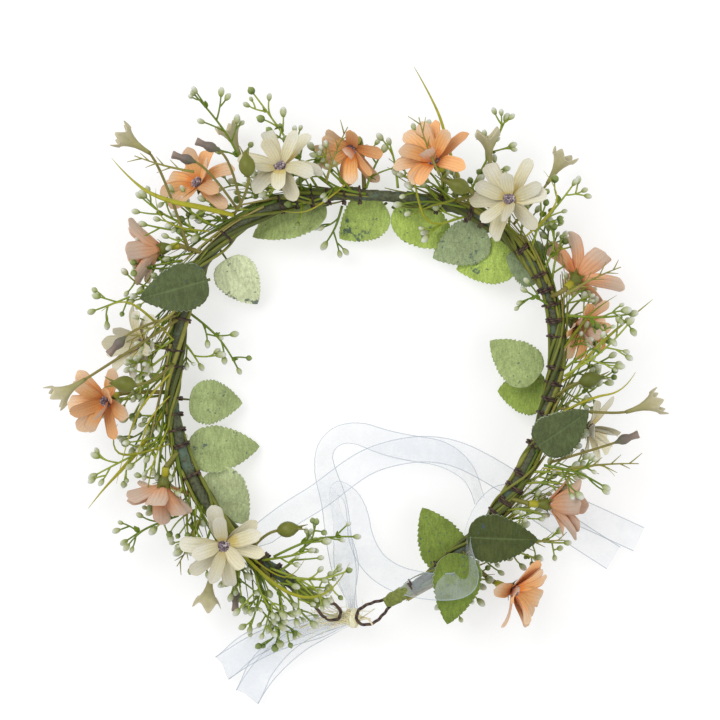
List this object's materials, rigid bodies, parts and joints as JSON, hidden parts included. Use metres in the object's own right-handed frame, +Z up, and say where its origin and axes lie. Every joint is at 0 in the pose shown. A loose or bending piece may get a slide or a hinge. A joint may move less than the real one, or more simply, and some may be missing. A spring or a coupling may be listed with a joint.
{
  "type": "flower crown",
  "caption": "Wired oval flower crown with peach and cream fabric daisies, green leaves, bud sprigs and white organza tie ribbons.",
  "frame": {"origin": "on the table at the middle of the head opening, 22 mm below the band's centreline", "axes": "+Z up along the crown's axis, +Y towards the forehead, the band opens at the back towards -Y"},
  "size_m": [0.3011, 0.3265, 0.0593],
  "materials": {
    "brown_paper_wire": "matte twisted paper over iron wire",
    "floral_tape": "waxed crepe tape, satin",
    "end_tape": "waxed crepe tape, satin",
    "vine_plastic": "moulded plastic stem, satin",
    "peach_fabric": "thin woven polyester, printed, translucent",
    "cream_fabric": "thin woven polyester, translucent",
    "flower_core": "moulded plastic",
    "leaf_fabric": "printed woven polyester, matte",
    "sprig_plastic": "moulded plastic with frosted tips",
    "bud_plastic": "moulded plastic",
    "trumpet_fabric": "soft fabric, matte",
    "grass_plastic": "moulded plastic",
    "organza": "sheer organza, crisp",
    "knot_thread": "frayed organza and thread"
  },
  "bodies": {
    "right_side": {"binding_wire_right": "brown_paper_wire", "buds_right": "bud_plastic", "core_wire_right": "brown_paper_wire", "cream_daisy_4_core": "flower_core", "cream_daisy_4_petals": "cream_fabric", "cream_daisy_5_core": "flower_core", "cream_daisy_5_petals": "cream_fabric", "end_eye_right": "brown_paper_wire", "end_tape_right": "end_tape", "grass_right": "grass_plastic", "leaves_right": "leaf_fabric", "peach_daisy_10_core": "flower_core", "peach_daisy_10_petals": "peach_fabric", "peach_daisy_6_core": "flower_core", "peach_daisy_6_petals": "peach_fabric", "peach_daisy_7_core": "flower_core", "peach_daisy_7_petals": "peach_fabric", "peach_daisy_8_core": "flower_core", "peach_daisy_8_petals": "peach_fabric", "peach_daisy_9_core": "flower_core", "peach_daisy_9_petals": "peach_fabric", "ribbon_knot": "knot_thread", "sprigs_right": "sprig_plastic", "tape_wrap_right": "floral_tape", "tie_ribbon_right": "organza", "trumpets_right": "trumpet_fabric", "vine_stem_right": "vine_plastic"},
    "left_side": {"binding_wire_left": "brown_paper_wire", "buds_left": "bud_plastic", "core_wire_left": "brown_paper_wire", "cream_daisy_1_core": "flower_core", "cream_daisy_1_petals": "cream_fabric", "cream_daisy_2_core": "flower_core", "cream_daisy_2_petals": "cream_fabric", "cream_daisy_3_core": "flower_core", "cream_daisy_3_petals": "cream_fabric", "end_eye_left": "brown_paper_wire", "end_tape_left": "end_tape", "grass_left": "grass_plastic", "leaves_left": "leaf_fabric", "peach_daisy_1_core": "flower_core", "peach_daisy_1_petals": "peach_fabric", "peach_daisy_2_core": "flower_core", "peach_daisy_2_petals": "peach_fabric", "peach_daisy_3_core": "flower_core", "peach_daisy_3_petals": "peach_fabric", "peach_daisy_4_core": "flower_core", "peach_daisy_4_petals": "peach_fabric", "peach_daisy_5_core": "flower_core", "peach_daisy_5_petals": "peach_fabric", "sprigs_left": "sprig_plastic", "tape_wrap_left": "floral_tape", "tie_ribbon_left": "organza", "trumpets_left": "trumpet_fabric", "vine_stem_left": "vine_plastic"},
    "bow": {"bow_loops": "organza"},
    "front_left_leaf": {"leaf_front_left": "leaf_fabric"},
    "side_left_leaf": {"leaf_side_left": "leaf_fabric"},
    "side_right_leaf": {"leaf_side_right": "leaf_fabric"}
  },
  "joints": [
    {"name": "crown_open", "type": "hinge", "parent": "right_side", "child": "left_side", "pos_m": [0.008, 0.103, 0.022], "axis": [0, 0, -1], "range_deg": [0, 10]},
    {"name": "bow_swing", "type": "hinge", "parent": "right_side", "child": "bow", "pos_m": [-0.0065, -0.1105, 0.015], "axis": [0, 0, 1], "range_deg": [-5, 30]},
    {"name": "front_left_leaf_bend", "type": "hinge", "parent": "left_side", "child": "front_left_leaf", "pos_m": [-0.073, 0.074, 0.017], "axis": [-0.8387, -0.5446, 0], "range_deg": [0, 30]},
    {"name": "side_left_leaf_bend", "type": "hinge", "parent": "left_side", "child": "side_left_leaf", "pos_m": [-0.093, 0, 0.017], "axis": [-0.0872, -0.9962, 0], "range_deg": [0, 30]},
    {"name": "side_right_leaf_bend", "type": "hinge", "parent": "right_side", "child": "side_right_leaf", "pos_m": [0.0895, 0.0085, 0.019], "axis": [0.6293, 0.7771, 0], "range_deg": [0, 30]}
  ]
}
